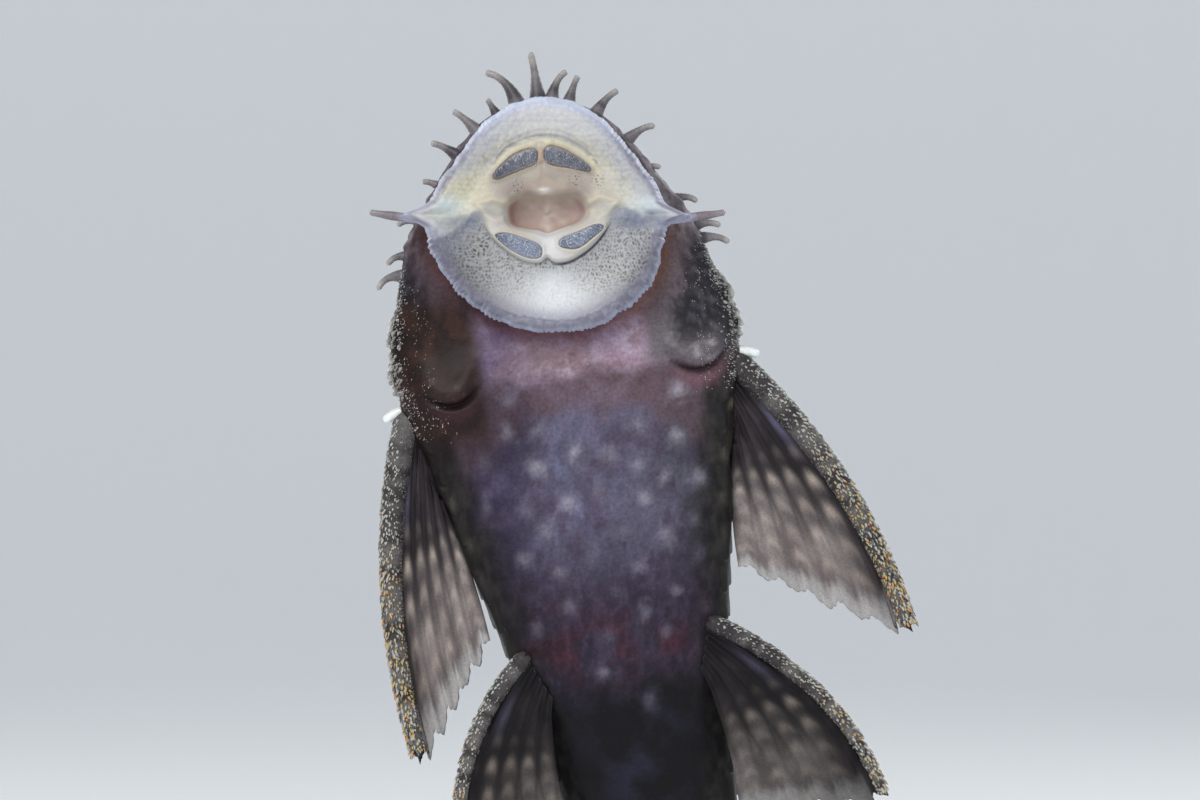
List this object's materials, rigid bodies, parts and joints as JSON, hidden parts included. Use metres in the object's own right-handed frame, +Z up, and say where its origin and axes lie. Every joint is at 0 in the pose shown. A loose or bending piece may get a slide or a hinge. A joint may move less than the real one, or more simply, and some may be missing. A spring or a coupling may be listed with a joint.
{
  "type": "bristlenose pleco",
  "caption": "Life-size bristlenose pleco, head up with its sucker mouth and belly shown, on a plain display stand.",
  "frame": {"origin": "centre of the stand base's underside, on the surface that the model stands on", "axes": "+Z up, from the stand to the fish's snout; -Y the side that the fish's belly and mouth face; +X the fish's left"},
  "size_m": [0.084, 0.064, 0.1345],
  "materials": {
    "skin": "damp skin over bony plates, dark brown above and slate violet below, with small pale spots",
    "lip": "soft wet skin, ivory with a violet margin and grey buds",
    "tooth": "fine grey-blue combs with pale and amber tips",
    "eye": "clear wet dome over a dark pupil and a bronze ring",
    "spine": "pale amber bony spines on dark skin",
    "fin": "thin spotted web with ridged rays and pale edges",
    "stand_wood": "dark satin varnish",
    "stand_steel": "satin"
  },
  "bodies": {
    "root": {"head": "skin", "trunk": "skin", "tail": "skin", "upper_lip": "lip", "lower_lip": "lip", "upper_teeth_left": "tooth", "lower_teeth_left": "tooth", "eye_left": "eye", "cheek_left": "spine", "gill_flap_left": "skin", "pectoral_fin_left": "fin", "pelvic_fin_left": "fin", "upper_teeth_right": "tooth", "lower_teeth_right": "tooth", "eye_right": "eye", "cheek_right": "spine", "gill_flap_right": "skin", "pectoral_fin_right": "fin", "pelvic_fin_right": "fin", "dorsal_fin": "fin", "adipose_fin": "fin", "anal_fin": "fin", "caudal_fin": "fin", "stand_base": "stand_wood", "stand_rod": "stand_steel"}
  },
  "joints": []
}
